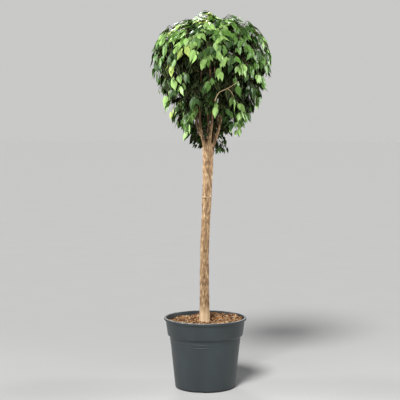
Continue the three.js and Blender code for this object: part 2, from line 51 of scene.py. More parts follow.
# The pot, as in the source. A level of the pot is its radius and its height.
POT_HEIGHT = 289
FOOT = (124, 3)
STEP_BELOW = (146, 212)
STEP_ABOVE = (155.5, 219)
LIP_HEIGHT, LIP_RADIUS = 9, 170
BAND_TOP = (163.4, POT_HEIGHT - LIP_HEIGHT)
POT_WALL, POT_FLOOR = 3.2, 4
BEAD_HEIGHTS = (184, 198)
BEAD_WIDTH, BEAD_PROUD = 4, 1
NOTCHES, NOTCH_TURN = 4, 79
DRAIN_HOLES, DRAIN_RADIUS, DRAIN_CIRCLE = 4, 8, 70

# The pot's finer form, carried on here: a rounder lip, a slightly higher notch, rounded edges and panels.
LIP_ROUND = 2.2
LIP_EDGE = 1.2
LIP_TOP = 0.8
NOTCH = {"width": 32, "height": 6.5, "depth": 14, "below": 4}
DRAIN_CUT = (-5, 12)
UNDERSIDE = 60
BODY_ROWS = (12, 40, 80, 120, 160)
STEP_ROWS = (208, 211)
STEP_ROUNDING = [(146.8, 212.4), (153.9, 216.8), (155.2, 218.6), (155.7, 220.5)]
BAND_ROWS = (240, 260, 278)
BAND_FILLET = 0.6
RIM_ROUNDING = [(1.5, 0), (0.4, -0.5), (0, -1.6)]
INSIDE_ROWS = (280, 270, 255, STEP_ABOVE[1], STEP_BELOW[1], 120, POT_FLOOR)
POT_SIDES = 216
PANELS, PANEL_GROOVE = 18, 0.45
PANEL_ROWS = (12, 180)
SHARP_ANGLE = 32

# The potting mix, as in the source.
MIX_LEVEL = 268
MIX_TILT = 0.055
LUMP = {"height": 2.5, "length_x": 23, "length_y": 19}
SLOPE_FROM, SLOPE_TO = 36, 70

# Here the mix is heaped up towards the back. Its bed lies under the chips and is rough. A roughness is a
# length, a layer of the noise and a height.
HEAP = {"height": 8, "from": -60, "to": 90}
BED_UNDER = 2
BED_GAP, BED_LIFT = 0.6, 0.3
BED_SIDES, BED_RINGS = 120, 46
BED_ROUGHNESS = [(7, 3, 3.2), (2.6, 9, 1.2)]

# The chips. Their width is a share of their length.
CHIPS = 6500
CHIP_LENGTH, CHIP_WIDTH, CHIP_THICKNESS = (5, 15), (0.28, 0.62), (1.6, 4)
CHIP_LEVEL = (-2.5, 2.2)
CHIP_LEAN = 0.4
CHIP_KNOCK = 0.16
CHIP_FACES = [(0, 1, 3, 2), (4, 6, 7, 5), (0, 4, 5, 1), (2, 3, 7, 6), (0, 2, 6, 4), (1, 5, 7, 3)]

# The trunk and the boughs, as in the source. A tier of boughs is how far out and how far down it roots, how
# far out it bends, and its tip, out and up. A bend is a share of the rise, one of the way out and a drift.
FORK_HEIGHT = 998
TRUNK_BURIED = 12
TRUNK_DRIFT = [(-2, 0), (-3, 1), (-3, 3), (3, 3), (9, 1), (12, 0)]
TRUNK_RADII = [21.5, 19.5, 18.4, 18.2, 18.6, 20.5, 23.5]
TRUNK_FLARE, FLARE_HEIGHT = 2.6, 26
TRUNK_WAVES = [(0.5, 5), (0.35, 11)]
TRUNK_LENGTH = FORK_HEIGHT - MIX_LEVEL + TRUNK_BURIED
BOUGHS = {"leader": (0, 20, 0, 0, 1388), "inner": (11, 20, 13, 56, 1310), "outer": (11, 36, 22, 56, 1294)}
BOUGH_RADII = {"leader": 6.6, "inner": 6.4, "outer": 6.8}
BOUGH_BENDS = [(0.28, 0.78, 0.05), (0.65, 0.96, 0.5)]
BOUGH_TIP_SHARE = 0.6
BOUGH_COLLAR, COLLAR_SHARE = 1.5, 0.25
BOUGH_SWAY, SWAY_SEED = 9, 7

# The bark. The trunk closes over the fork by steps of a rise and a radius. A ring scar is a height and how
# far it stands out. A layer of the relief is a width, a length, a shift and how far it stands out.
TRUNK_CREST = [(7, 20), (14, 15), (22, 8), (27, 2)]
RING_SCARS = [(789, 1.3), (905, 0.7), (604, 0.5), (431, 0.6)]
SCAR_WIDTH, SCAR_WANDER = 2.2, 3
BARK_LAYERS = [(3.4, 46, 0, 0.75), (1.6, 9, 40, 0.3), (30, 38, 0, 0.9)]
BARK_VOXEL = 1.55
BOUGH_RELIEF, BOUGH_RELIEF_FROM = 0.55, FORK_HEIGHT + 12
TRUNK_STEPS, TRUNK_SIDES = 90, 40
BOUGH_STEPS, BOUGH_SIDES = 40, 20

# The crown, its masses and its sprays, as in the source.
CROWN_CENTRE = np.array([24.0, 0.0, 1337.0])
CROWN = {"radius": 228, "rise": 186, "fall": 284, "shoulder": 2.6, "taper": 1.8}
HOLLOW_FROM, HOLLOW = 0.9, 0.45
HEART_SHARE, FORK_SHARE = 0.47, 0.58
HEART_ELEVATION, SIDE_ELEVATION = -6, 20
MASSES = [
    ("top", 0, "leader"),
    ("front", 285, "inner"),
    ("front_right", 345, "outer"),
    ("back_right", 45, "inner"),
    ("back", 105, "outer"),
    ("back_left", 165, "inner"),
    ("front_left", 225, "outer"),
]
SPRAYS = 102
LOWEST = 0.93
INSET = 0.1
GROUP_SIZE = 4
DROOP = 16
REACH, REACH_TURN = (0.94, 1.06), 0.7549
CREST = {"azimuth": 240, "elevation": 85, "reach": 1.1}

# How a leaf hangs, as in the source: its way out and down at the side and at the top, and how it faces up.
HANG_OUT, HANG_DOWN = (0.22, 0.77), (1, 0.5)
FACE_UP = 0.35

# The outline that the leaves keep to: a rounder and lower form round the sprays' tips.
OUTLINE_CENTRE = np.array([25.0, 0.0, 1300.0])
OUTLINE = {"radius": 253, "rise": 248, "fall": 348, "shoulder": 2.3, "taper": 1.65}
INNER_REACH = 0.9

# How low leaves may hang at the sides, in front and behind. The skirt is lifted where the fork shows, and
# the leaves leave the middle open where the boughs rise in it.
SKIRT = {"side": 1004, "front": 1100, "back": 1034, "open_to": 45, "closed_from": 85}
OPEN_MIDDLE = 40
OPEN_UP_TO = CROWN_CENTRE[2] - 100
BEHIND_BOUGHS = 18
ROOM_BELOW = 50
CLEAR_OF_LIMB = 3

# A gap in the outer leaves, across and up, where a pale bare twig with one side twig shows.
CLEARING = (84, 1216)
CLEARING_RADIUS = 42
BARE_TWIG = [(36, -190, 1171), (52, -206, 1203), (85, -206, 1219), (128, -196, 1247)]
BARE_SIDE_TWIG = [(85, -206, 1219), (99, -204, 1207), (110, -200, 1186)]

# Each kind of wood has a radius at its root, one at its tip, and a number of sides.
WOOD = {
    "stem": (3.9, 2.9, 8),
    "branch": (2.6, 1.7, 6),
    "spray": (1.6, 0.8, 5),
    "twiglet": (0.8, 0.45, 4),
    "low_shoot": (1.1, 0.5, 4),
    "fork_twig": (1.0, 0.5, 4),
    "fork_spray": (1.5, 0.6, 5),
    "bare_twig": (1.5, 0.7, 6),
    "bare_side_twig": (1.0, 0.6, 6),
}

# How a spray arches and hangs over at the side and at the top, and its side twigs, by the way they set off.
SPRAY_STEPS = 14
SPRAY_ARCH, SPRAY_HANG = (12, 2), (40, 16)
INNER_TWIGS = (0.08, 0.2, 0.32, 0.44, 0.56)
OUTER_TWIGS = (0.64, 0.73, 0.82, 0.9, 0.98)
TWIG_ASIDE, TWIG_OUT, TWIG_DOWN = (0.5, 1.1), (0.25, 0.8), (0.1, 0.7)
TWIG_LENGTH, TWIG_LONGER = (90, 46), (0.8, 1.2)
TWIG_SAG, TWIG_STEPS = 0.35, 5
INNER_LEAVES, OUTER_LEAVES, SPRAY_LEAVES = 5, 6, 6
TOP_GAPS, SIDE_GAPS = 0.3, 0.4

# A leaf of size 1 in millimetres, and the chances of its size, its turn aside, its lift and its tilt.
LEAF_LENGTH, LEAF_WIDTH, LEAF_THICKNESS = 51, 27, 0.6
PETIOLE = 13
LEAF_SIZES, LEAF_TURN, LEAF_LIFT, LEAF_TILT = (0.46, 1.02), (-0.35, 0.75), (-0.2, 0.4), 0.45
TOP_LIFT, TOP_SIZE, INNER_SIZE = 0.22, 0.85, 1.1

# A leaf's half width along its length, its shapes as a curl, a fold and a wave, and its stalk's rings, each
# a place along the leaf, a height and a radius.
STATIONS = np.array([0.0, 0.1, 0.28, 0.48, 0.68, 0.86, 1.0])
WIDTHS = np.array([0.04, 0.66, 1.0, 0.92, 0.56, 0.16, 0.02]) * LEAF_WIDTH / LEAF_LENGTH / 2
LEAF_SHAPES = [(0.1, 0.34, 0.02), (0.26, 0.22, 0.03), (0.02, 0.5, 0.0), (0.4, 0.3, 0.02)]
HALF_BLADE, MIDRIB = 0.55, 0.014
STALK, STALK_LIFT = PETIOLE / LEAF_LENGTH, 0.05
STALK_RINGS = [(-STALK, -STALK_LIFT, 0.012), (-0.4 * STALK, 0.03, 0.01), (0.03, -0.004, 0.011)]
VEINS, VEIN_SLANT = 9, 0.9

# The share of the outer twigs with leaves of each colour, and what the top and the upper left add to it
# as painted light.
LEAF_MIX = {"bright": (0.29, 0.1, 0), "young_painted_light": (0.03, 0.03, 0.22), "mid": (0.38, 0, 0), "deep": (0.3, 0, 0)}

# Thin shoots that root on the boughs and carry small leaves, behind the fork, in the middle and round the
# fork: their kind, their count, shares of the bough, azimuths, lengths and the colour of their leaves.
# Their dark leaves are near black: painted shade behind and round the fork.
SHOOTS = [
    ("low_shoot", 84, (0.12, 0.45), (20, 160), (40, 90), "dark"),
    ("low_shoot", 32, (0.5, 1.0), (190, 350), (40, 90), "dark"),
    ("low_shoot", 30, (0.5, 0.8), (225, 315), (70, 120), "mid"),
    ("fork_twig", 76, (0.1, 0.42), (12, 168), (35, 85), "dark"),
]
SHOOT_FORMS = {
    "low_shoot": dict(rise=(0, 40), sag=0.5, steps=(2, 3, 4, 6), size=(0.5, 0.9), turn=0.4, lift=0.1),
    "fork_twig": dict(rise=(10, 45), sag=0.45, steps=(3, 3, 4, 6), size=(0.34, 0.7), turn=0.5, lift=0.2),
}
SHOOT_STEPS = 6
SHOOT_TILT = (0.2, 0.0)

# Shoots that hang lowest: where each leaves the crown, as an azimuth, an elevation and a share, and its tip.
# Their leaves are a colour, shares of the shoot from one to another, and a count.
DROOPS = [
    ((335, -42, 0.6), (124, -72, 1062)),
    ((345, -40, 0.65), (137, -40, 1072)),
    ((205, -42, 0.6), (-66, -60, 1064)),
]
DROOP_LEAVES = [("mid", 0.35, 0.8, 4), ("bright", 0.5, 1, 4), ("deep", 0.3, 0.98, 6)]

# The leafy twig low on the right of the fork.
FORK_SPRAY = {"root": 972, "sunk": 3, "bend": (5, -4, -6), "tip": (74, 0, 1030)}
FORK_LEAVES, FORK_LEAF_SIZES = 7, (0.4, 0.62)

random = np.random.default_rng(3)
chance = random.uniform


def unit(vector):
    return vector / max(np.linalg.norm(vector), 1e-9)


def lerp(low, high, share):
    return low + (high - low) * share


def smoothstep(value, low, high):
    share = min(max((value - low) / (high - low), 0.0), 1.0)
    return share * share * (3 - 2 * share)


def direction_of(azimuth, elevation):
    a, e = math.radians(azimuth), math.radians(elevation)
    return np.array([math.cos(e) * math.cos(a), math.cos(e) * math.sin(a), math.sin(e)])


def source_random(seed):
    """The source's own run of numbers from 0 to 1, so that the boughs sway the same way."""
    state = seed
    while True:
        state = (state * 1664525 + 1013904223) % 2**32
        yield state / 2**32


def smooth_path(points, steps):
    """Points at even lengths along a smooth curve through all the given ones, the source's kind of curve."""
    p = [np.array(q, float) for q in points]
    p = [2 * p[0] - p[1], *p, 2 * p[-1] - p[-2]]
    fine = []
    for a, b, c, d in zip(p, p[1:], p[2:], p[3:]):
        s, t, u = (max(np.linalg.norm(x), 1e-6) ** 0.5 for x in (b - a, c - b, d - c))
        m = ((b - a) / s - (c - a) / (s + t) + (c - b) / t) * t
        n = ((c - b) / t - (d - b) / (t + u) + (d - c) / u) * t
        for k in np.linspace(0, 1, 16, endpoint=False):
            fine.append(b + m * k + (3 * (c - b) - 2 * m - n) * k**2 + (2 * (b - c) + m + n) * k**3)
    fine = np.array([*fine, p[-2]])
    lengths = np.concatenate([[0], np.cumsum(np.linalg.norm(np.diff(fine, axis=0), axis=1))])
    even = np.linspace(0, lengths[-1], steps + 1)
    return np.stack([np.interp(even, lengths, fine[:, i]) for i in range(3)], axis=1)


def add_object(name, data):
    """A new object in the scene, with its mesh, its lamp or its camera."""
    made = bpy.data.objects.new(name, data)
    bpy.context.scene.collection.objects.link(made)
    return made


class Builder:
    """Gathers points and faces for one joined mesh."""

    def __init__(self):
        self.points, self.faces, self.kinds, self.count = [], [], [], 0

    def add(self, points, faces, kinds=None):
        self.points.append(np.asarray(points, float))
        self.faces.extend([tuple(i + self.count for i in face) for face in faces])
        self.kinds.extend(kinds or [0] * len(faces))
        self.count += len(points)

    def tube(self, path, radii, sides):
        """A closed limb along a path, with a radius at each of its points."""
        path = np.asarray(path, float)
        tangents = np.gradient(path, axis=0)
        normal = unit(np.cross(tangents[0], [0.31, 0.93, 0.2]))
        turns = np.arange(sides) * 2 * math.pi / sides
        rings = []
        for point, tangent, radius in zip(path, tangents, radii):
            tangent = unit(tangent)
            normal = unit(normal - tangent * normal.dot(tangent))
            binormal = np.cross(tangent, normal)
            ring = np.outer(np.cos(turns), normal) + np.outer(np.sin(turns), binormal)
            rings.append(point + radius * ring)
        faces = []
        for ring in range(len(path) - 1):
            a, b = ring * sides, (ring + 1) * sides
            faces += [(a + i, a + (i + 1) % sides, b + (i + 1) % sides, b + i) for i in range(sides)]
        faces.append(tuple(reversed(range(sides))))
        faces.append(tuple(range((len(path) - 1) * sides, len(path) * sides)))
        self.add(np.concatenate(rings), faces)

    def object(self, name, materials, smooth=True):
        mesh = bpy.data.meshes.new(name)
        mesh.from_pydata((np.concatenate(self.points) * MM).tolist(), [], self.faces)
        for material in materials:
            mesh.materials.append(material)
        mesh.polygons.foreach_set("material_index", self.kinds)
        mesh.polygons.foreach_set("use_smooth", [smooth] * len(self.faces))
        mesh.update()
        return add_object(name, mesh)


def dress(piece, slot, *nodes):
    """Puts a piece on the one body and hides the nodes that it stands for. Its slot is not used."""
    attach(piece, "root")
    if nodes:
        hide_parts(*nodes)
    return piece


def settled(piece):
    """The piece with its modifiers worked into its mesh."""
    graph = bpy.context.evaluated_depsgraph_get()
    mesh = bpy.data.meshes.new_from_object(piece.evaluated_get(graph))
    piece.modifiers.clear()
    piece.data = mesh
    return piece


# Materials.


def srgb(red, green, blue):
    """A colour given in 0 to 255 as it looks on a screen."""
    values = [c / 255 for c in (red, green, blue)]
    return [c / 12.92 if c <= 0.04045 else ((c + 0.055) / 1.055) ** 2.4 for c in values] + [1.0]


def principled(name, color, roughness):
    material = bpy.data.materials.new(name)
    material.use_nodes = True
    shader = material.node_tree.nodes["Principled BSDF"]
    shader.inputs["Base Color"].default_value = color
    shader.inputs["Roughness"].default_value = roughness
    return material, shader


def add_node(owner, kind, inputs, **settings):
    """A node with its settings and its inputs, each a socket to link or a plain value."""
    node = owner.node_tree.nodes.new("ShaderNode" + kind)
    for name, value in settings.items():
        setattr(node, name, value)
    for name, value in inputs.items():
        if isinstance(value, bpy.types.NodeSocket):
            owner.node_tree.links.new(value, node.inputs[name])
        else:
            node.inputs[name].default_value = value
    return node


def add_noise(material, scale, stretch=(1, 1, 1), detail=6):
    """A noise field in the plant's own space, stretched by a factor along each axis."""
    place = add_node(material, "TexCoord", {}).outputs["Object"]
    mapped = add_node(material, "Mapping", {"Vector": place, "Scale": stretch}).outputs["Vector"]
    return add_node(material, "TexNoise", {"Vector": mapped, "Scale": scale, "Detail": detail}).outputs["Fac"]


def add_ramp(owner, value, stops):
    """Colours along a value, as pairs of a place from 0 to 1 and a colour."""
    ramp = add_node(owner, "ValToRGB", {"Fac": value})
    for index, (place, color) in enumerate(stops):
        stop = ramp.color_ramp.elements[index] if index < 2 else ramp.color_ramp.elements.new(place)
        stop.position, stop.color = place, color
    return ramp.outputs["Color"]


def add_math(material, operation, *values):
    """A sum on one or two values, each a socket or a number."""
    return add_node(material, "Math", dict(enumerate(values)), operation=operation).outputs["Value"]


def remap(material, value, old, new=(0, 1)):
    """A value carried from one range to another, and held within it."""
    inputs = {"Value": value, "From Min": old[0], "From Max": old[1], "To Min": new[0], "To Max": new[1]}
    return add_node(material, "MapRange", inputs).outputs["Result"]


def blend(material, factor, first, second):
    """One colour turning into another as a factor goes from 0 to 1."""
    inputs = {"Factor": factor, "A": first, "B": second}
    return add_node(material, "Mix", inputs, data_type="RGBA").outputs["Result"]


def height_of(material):
    """The height of each point of the plant, in metres."""
    place = add_node(material, "TexCoord", {}).outputs["Object"]
    return add_node(material, "SeparateXYZ", {"Vector": place}).outputs["Z"]


def height_share(material, low, high):
    """0 at one height of the plant and 1 at another, in millimetres."""
    return remap(material, height_of(material), (low * MM, high * MM))


def ring_band(material, height, half):
    """1 at a wavering height of the plant and 0 a little above and below it, in millimetres."""
    waver = remap(material, add_noise(material, 45), (0, 1), (-22 * MM, 22 * MM))
    level = add_math(material, "ADD", height_of(material), waver)
    off = add_math(material, "ABSOLUTE", add_math(material, "SUBTRACT", level, height * MM))
    return remap(material, off, (half * MM, half * MM / 2))


def set_color(material, shader, color):
    material.node_tree.links.new(color, shader.inputs["Base Color"])


def add_bump(material, shader, height, distance, strength):
    bump = add_node(material, "Bump", {"Height": height, "Distance": distance, "Strength": strength})
    material.node_tree.links.new(bump.outputs["Normal"], shader.inputs["Normal"])


def pot_material():
    """Slate plastic with faint clouds and a fine grain; painted contact shadow darkens the foot at the floor.
    """
    material, shader = principled("pot_plastic", srgb(51, 58, 62), 0.45)
    clouds = add_noise(material, 9, (1, 1, 0.6))
    slate = add_ramp(material, clouds, [(0.3, srgb(43, 50, 53)), (0.7, srgb(57, 66, 69))])
    # The lowest millimetres go near black: painted contact shadow where the foot stands on the floor.
    set_color(material, shader, blend(material, height_share(material, 9, 4), slate, srgb(14, 16, 17)))
    gloss = remap(material, clouds, (0, 1), (0.34, 0.54))
    material.node_tree.links.new(gloss, shader.inputs["Roughness"])
    add_bump(material, shader, add_noise(material, 1400), 0.0002, 0.35)
    return material


def lip_highlight_material():
    """The lip's flat top, painted pale as a highlight, with a mottle and a fine bump."""
    material, shader = principled("pot_lip_painted_highlight", srgb(150, 154, 152), 0.35)
    lip_mottle = add_noise(material, 60)
    # Pale stops: a painted highlight along the lip's top.
    stops = [(0.35, srgb(118, 124, 124)), (0.65, srgb(176, 178, 174))]
    set_color(material, shader, add_ramp(material, lip_mottle, stops))
    add_bump(material, shader, lip_mottle, 0.0002, 0.3)
    return material


def bark_material():
    """Tan bark with mottles, upright streaks, pores and a ring scar, cream at the foot, and darker and
    streaked on the boughs as painted shade from the crown.
    """
    material, shader = principled("bark", srgb(168, 131, 90), 0.8)
    mottles = add_noise(material, 130, (1, 1, 0.4), 5)
    streaks = add_noise(material, 260, (1, 1, 0.07))
    pores = add_noise(material, 330, (1, 1, 0.6), 3)
    scar = RING_SCARS[0][0]
    stops = [(0.3, srgb(92, 68, 44)), (0.43, srgb(144, 112, 78)), (0.56, srgb(172, 140, 102))]
    tan = add_ramp(material, mottles, [*stops, (0.7, srgb(212, 186, 148))])
    tan = blend(material, remap(material, streaks, (0.52, 0.72)), tan, srgb(104, 76, 48))
    tan = blend(material, remap(material, pores, (0.58, 0.68)), tan, srgb(72, 50, 32))
    tan = blend(material, ring_band(material, scar, 3), tan, srgb(206, 180, 140))
    tan = blend(material, ring_band(material, scar - 7, 3), tan, srgb(118, 90, 60))
    cream = add_ramp(material, streaks, [(0.35, srgb(196, 160, 118)), (0.6, srgb(232, 204, 166))])
    tan = blend(material, height_share(material, 345, 300), tan, cream)
    # Above the fork a darker streaked tone: painted shade from the crown on the boughs.
    young_painted_light = add_ramp(material, streaks, [(0.38, srgb(62, 44, 28)), (0.62, srgb(186, 150, 108))])
    set_color(material, shader, blend(material, height_share(material, 985, 1025), tan, young_painted_light))
    add_bump(material, shader, streaks, 0.0006, 0.6)
    return material


def wood_material(name, color, darker, roughness):
    material, shader = principled(name, color, roughness)
    grain = add_noise(material, 420, (1, 1, 0.4))
    set_color(material, shader, add_ramp(material, grain, [(0.35, darker), (0.65, color)]))
    add_bump(material, shader, grain, 0.0004, 0.5)
    return material


def leaf_material(name, color, roughness, shine):
    """Plain coloured leaf with a waxy gloss. Its side veins are a fine relief that slants off the midrib."""
    material, shader = principled(name, color, roughness)
    shader.inputs["Specular IOR Level"].default_value = shine
    place = add_node(material, "UVMap", {}).outputs["UV"]
    parts = add_node(material, "SeparateXYZ", {"Vector": place})
    slant = add_math(material, "MULTIPLY", add_math(material, "ABSOLUTE", parts.outputs["X"]), VEIN_SLANT)
    slanted = add_math(material, "SUBTRACT", parts.outputs["Y"], slant)
    veins = add_math(material, "SINE", add_math(material, "MULTIPLY", slanted, VEINS * 2 * math.pi))
    add_bump(material, shader, veins, 0.0003, 0.3)
    return material


def floor_material():
    material, shader = principled("floor", srgb(222, 222, 220), 0.9)
    stops = [(0.3, srgb(221, 221, 219)), (0.7, srgb(223, 223, 221))]
    set_color(material, shader, add_ramp(material, add_noise(material, 3), stops))
    return material


# The pot.


def slope(low, high, height):
    return lerp(low[0], high[0], (height - low[1]) / (high[1] - low[1]))


def inner_radius(height):
    if height <= STEP_BELOW[1]:
        return slope(FOOT, STEP_BELOW, height) - POT_WALL
    if height <= STEP_ABOVE[1]:
        return slope(STEP_BELOW, STEP_ABOVE, height) - POT_WALL
    return slope(STEP_ABOVE, BAND_TOP, height) - POT_WALL


def arc(radius, height, size, start, end, count=5):
    """Points on a round of the profile, by the angle from outwards to upwards."""
    angles = np.radians(np.linspace(start, end, count))
    return [(radius + size * math.cos(a), height + size * math.sin(a)) for a in angles]


def pot_profile():
    """The pot's section from the middle of its underside, up the outside, over the lip and down inside."""
    profile = [(0, 0), (UNDERSIDE, 0), *arc(FOOT[0] - FOOT[1], FOOT[1], FOOT[1], -90, 0)]
    profile += [(slope(FOOT, STEP_BELOW, h), h) for h in BODY_ROWS]
    for height in BEAD_HEIGHTS:
        for share in np.linspace(-0.5, 0.5, 7):
            level = height + share * BEAD_WIDTH
            proud = BEAD_PROUD * math.cos(math.pi * share) ** 0.5
            profile.append((slope(FOOT, STEP_BELOW, level) + proud, level))
    profile += [(slope(FOOT, STEP_BELOW, h), h) for h in STEP_ROWS]
    profile += STEP_ROUNDING
    profile += [(slope(STEP_ABOVE, BAND_TOP, h), h) for h in BAND_ROWS]
    profile += [(BAND_TOP[0] + BAND_FILLET, BAND_TOP[1] - BAND_FILLET), (LIP_RADIUS - LIP_EDGE, BAND_TOP[1])]
    profile += arc(LIP_RADIUS - LIP_EDGE, BAND_TOP[1] + LIP_EDGE, LIP_EDGE, -70, 0, 3)
    profile += arc(LIP_RADIUS - LIP_ROUND, POT_HEIGHT - LIP_ROUND, LIP_ROUND, 0, 90)
    rim = inner_radius(POT_HEIGHT)
    profile += [(rim + out, POT_HEIGHT + up) for out, up in RIM_ROUNDING]
    return profile + [(inner_radius(h), h) for h in INSIDE_ROWS] + [(0, POT_FLOOR)]


def lathe(profile, sides, groove=lambda *_: 0):
    """A turned form. groove gives how far the wall is drawn in at a step round, a radius and a height."""
    turns = np.arange(sides) * 2 * math.pi / sides
    points, rows = [], []
    for radius, height in profile:
        if radius == 0:
            rows.append([len(points)] * sides)
            points.append((0, 0, height))
            continue
        rows.append(list(range(len(points), len(points) + sides)))
        for i, turn in enumerate(turns):
            r = radius - groove(i, radius, height)
            points.append((r * math.cos(turn), r * math.sin(turn), height))
    faces = []
    for low, high in zip(rows, rows[1:]):
        for i in range(sides):
            j = (i + 1) % sides
            faces.append(tuple(dict.fromkeys([low[i], low[j], high[j], high[i]])))
    return points, faces


def panel_groove(step, radius, height):
    """Faint upright lines that part the pot's wall into panels."""
    outside = radius > slope(FOOT, STEP_BELOW, height) - 1
    on_line = step % (POT_SIDES // PANELS) == 0
    return PANEL_GROOVE if outside and on_line and PANEL_ROWS[0] <= height < PANEL_ROWS[1] else 0


def notch_cutter(turn):
    """A low arch in the foot, drawn out along the radius."""
    half = NOTCH["width"] / 2
    top = [(a, NOTCH["height"] * (1 - abs(a / half) ** 3) ** 0.5) for a in np.linspace(-half, half, 17)]
    outline = [(half, -NOTCH["below"]), *reversed(top), (-half, -NOTCH["below"])]
    count = len(outline)
    out = np.array([math.cos(turn), math.sin(turn), 0])
    side = np.array([-out[1], out[0], 0])
    points = []
    for distance in (FOOT[0] - NOTCH["depth"], FOOT[0] + NOTCH["depth"]):
        points += [out * distance + side * a + UP * z for a, z in outline]
    faces = [(i, (i + 1) % count, count + (i + 1) % count, count + i) for i in range(count)]
    faces += [tuple(reversed(range(count))), tuple(range(count, 2 * count))]
    return points, faces


def make_pot(material, lip):
    body, cutters = Builder(), Builder()
    body.add(*lathe(pot_profile(), POT_SIDES, panel_groove))
    pot = body.object("nursery_pot", [material])
    for i in range(NOTCHES):
        cutters.add(*notch_cutter(math.radians(NOTCH_TURN) + i * 2 * math.pi / NOTCHES))
    for i in range(DRAIN_HOLES):
        middle = direction_of(i * 360 / DRAIN_HOLES, 0) * DRAIN_CIRCLE
        cutters.tube([middle + UP * z for z in DRAIN_CUT], [DRAIN_RADIUS] * 2, 24)
    cutter = cutters.object("pot_cutters", [material])
    cut = pot.modifiers.new("cut", "BOOLEAN")
    cut.object = cutter
    cut.operation = "DIFFERENCE"
    mesh = settled(pot).data
    bpy.data.objects.remove(cutter)
    mesh.polygons.foreach_set("use_smooth", [True] * len(mesh.polygons))
    mesh.set_sharp_from_angle(angle=math.radians(SHARP_ANGLE))
    mesh.materials.append(lip)
    # The lip's flat top takes the pale material: a painted highlight.
    for face in mesh.polygons:
        if face.center.z > (POT_HEIGHT - LIP_TOP) * MM:
            face.material_index = 1
    dress(pot, "pot", "pot")


# The potting mix.


def mix_height(x, y):
    """The surface of the mix, level round the stem: the source's, with the heap towards the back."""
    from_stem = math.hypot(x - TRUNK_DRIFT[0][0], y - TRUNK_DRIFT[0][1])
    lump = LUMP["height"] * math.sin(x / LUMP["length_x"] + 1) * math.cos(y / LUMP["length_y"])
    heap = HEAP["height"] * smoothstep(y, HEAP["from"], HEAP["to"])
    return MIX_LEVEL + smoothstep(from_stem, SLOPE_FROM, SLOPE_TO) * (MIX_TILT * x + lump + heap)


def make_mix(material):
    """The bed of fine dark mix that the chips lie on."""
    edge = inner_radius(MIX_LEVEL) - BED_GAP
    floor = POT_FLOOR + BED_LIFT
    profile = [(0, floor)]
    profile += [(inner_radius(h) - BED_GAP, h) for h in (floor, 120, STEP_BELOW[1], STEP_ABOVE[1])]
    profile += [(edge * (1 - i / BED_RINGS), MIX_LEVEL) for i in range(BED_RINGS)] + [(0, MIX_LEVEL)]
    points, faces = lathe(profile, BED_SIDES)
    lifted = []
    for x, y, z in points:
        if z == MIX_LEVEL:
            rough = sum(noise.noise(Vector((x / s, y / s, layer))) * up for s, layer, up in BED_ROUGHNESS)
            z = mix_height(x, y) - BED_UNDER + rough
        lifted.append((x, y, z))
    bed = Builder()
    bed.add(lifted, faces)
    dress(bed.object("potting_mix_bed", [material]), "potting_mix", "potting_mix")


def rotation(angle, a, b):
    """A turn from one axis towards another."""
    turn = np.eye(3)
    turn[a, a] = turn[b, b] = math.cos(angle)
    turn[b, a] = math.sin(angle)
    turn[a, b] = -turn[b, a]
    return turn


def chip(place, size, spin, lean):
    """A flake of bark: a box with its corners knocked about."""
    corners = np.array([(x, y, z) for x in (-0.5, 0.5) for y in (-0.5, 0.5) for z in (-0.5, 0.5)])
    corners = (corners + chance(-CHIP_KNOCK, CHIP_KNOCK, (8, 3))) * size
    leaning = rotation(lean[0], 1, 2) @ rotation(lean[1], 2, 0)
    return corners @ (rotation(spin, 0, 1) @ leaning).T + place


def make_chips(materials):
    """Chips of bark and fibre in several plain colours, strewn over the bed."""
    heaps = [Builder() for _ in materials]
    shares = [share for _, share in materials]
    edge = inner_radius(MIX_LEVEL) - 3
    for _ in range(CHIPS):
        length = chance(*CHIP_LENGTH)
        radius = (edge - length * 0.45) * math.sqrt(chance(0.012, 1))
        turn = chance(0, 2 * math.pi)
        x, y = radius * math.cos(turn), radius * math.sin(turn)
        size = np.array([length, length * chance(*CHIP_WIDTH), chance(*CHIP_THICKNESS)])
        lean = random.normal(0, CHIP_LEAN, 2)
        place = np.array([x, y, mix_height(x, y) + chance(*CHIP_LEVEL)])
        heap = heaps[random.choice(len(materials), p=shares)]
        heap.add(chip(place, size, chance(0, 2 * math.pi), lean), CHIP_FACES)
    for heap, (material, _) in zip(heaps, materials):
        dress(heap.object(material.name, [material], smooth=False), "potting_mix")


# The trunk and the boughs.


def along(values, share):
    return np.interp(np.clip(share, 0, 1) * (len(values) - 1), range(len(values)), values)


def trunk_radius(share):
    height = share * TRUNK_LENGTH - TRUNK_BURIED
    flare = TRUNK_FLARE * max(0, 1 - height / FLARE_HEIGHT) ** 2
    waves = sum(size * math.sin(2 * math.pi * turns * share + turns) for size, turns in TRUNK_WAVES)
    return along(TRUNK_RADII, share) + flare + waves


def trunk_path(steps):
    heights = np.linspace(MIX_LEVEL - TRUNK_BURIED, FORK_HEIGHT, len(TRUNK_DRIFT))
    return smooth_path([(x, y, z) for (x, y), z in zip(TRUNK_DRIFT, heights)], steps)


def bough_path(azimuth, tier, numbers):
    root_out, root_drop, bend_out, tip_out, tip_height = BOUGHS[tier]
    out = direction_of(azimuth, 0)
    side = np.array([-out[1], out[0], 0])
    fork = np.array([*TRUNK_DRIFT[-1], FORK_HEIGHT], float)

    def at(distance, height, drift, sway):
        middle = lerp(fork, CROWN_CENTRE, drift)
        middle[2] = height
        return middle + out * distance + side * sway

    points = [at(root_out, FORK_HEIGHT - root_drop, 0, 0), at(bend_out, FORK_HEIGHT, 0, 0)]
    for rise_share, out_share, drift in BOUGH_BENDS:
        height = FORK_HEIGHT + (tip_height - FORK_HEIGHT) * rise_share
        sway = lerp(-BOUGH_SWAY / 2, BOUGH_SWAY / 2, next(numbers))
        points.append(at(lerp(bend_out, tip_out, out_share), height, drift, sway))
    return smooth_path([*points, at(tip_out, tip_height, 1, 0)], BOUGH_STEPS)


def bough_radius(tier, share):
    collar = BOUGH_COLLAR * max(0, 1 - share / COLLAR_SHARE)
    return BOUGH_RADII[tier] * lerp(1, BOUGH_TIP_SHARE, share) + collar


